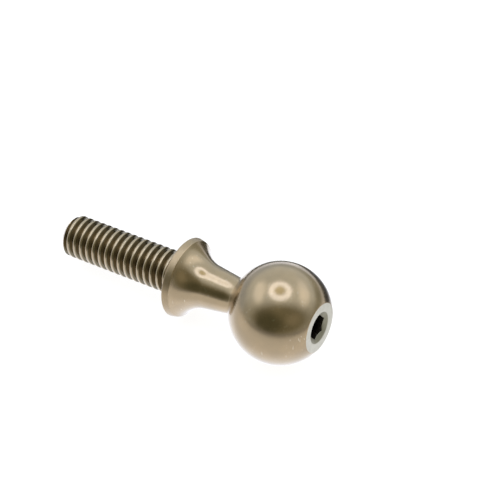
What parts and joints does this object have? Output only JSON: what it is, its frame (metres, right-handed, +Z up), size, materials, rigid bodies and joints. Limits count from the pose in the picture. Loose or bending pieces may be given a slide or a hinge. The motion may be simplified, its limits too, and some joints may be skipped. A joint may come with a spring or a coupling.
{
  "type": "ball pivot",
  "caption": "Ball pivot turned as one stud: a ball with a key socket in its flat end, a flared shoulder and a fine thread.",
  "frame": {"origin": "centre of the ball", "axes": "+X along the stud towards its ball end, +Z up. The stud lies as it comes to rest, on the ball and on the shoulder's rim, so the axis dips 5 degrees towards the thread."},
  "size_m": [0.0264, 0.009, 0.009],
  "materials": {
    "anodised_aluminium": "hard-anodised bronze, satin, with fine turning marks"
  },
  "bodies": {
    "root": {"ball_pivot": "anodised_aluminium"}
  },
  "joints": []
}
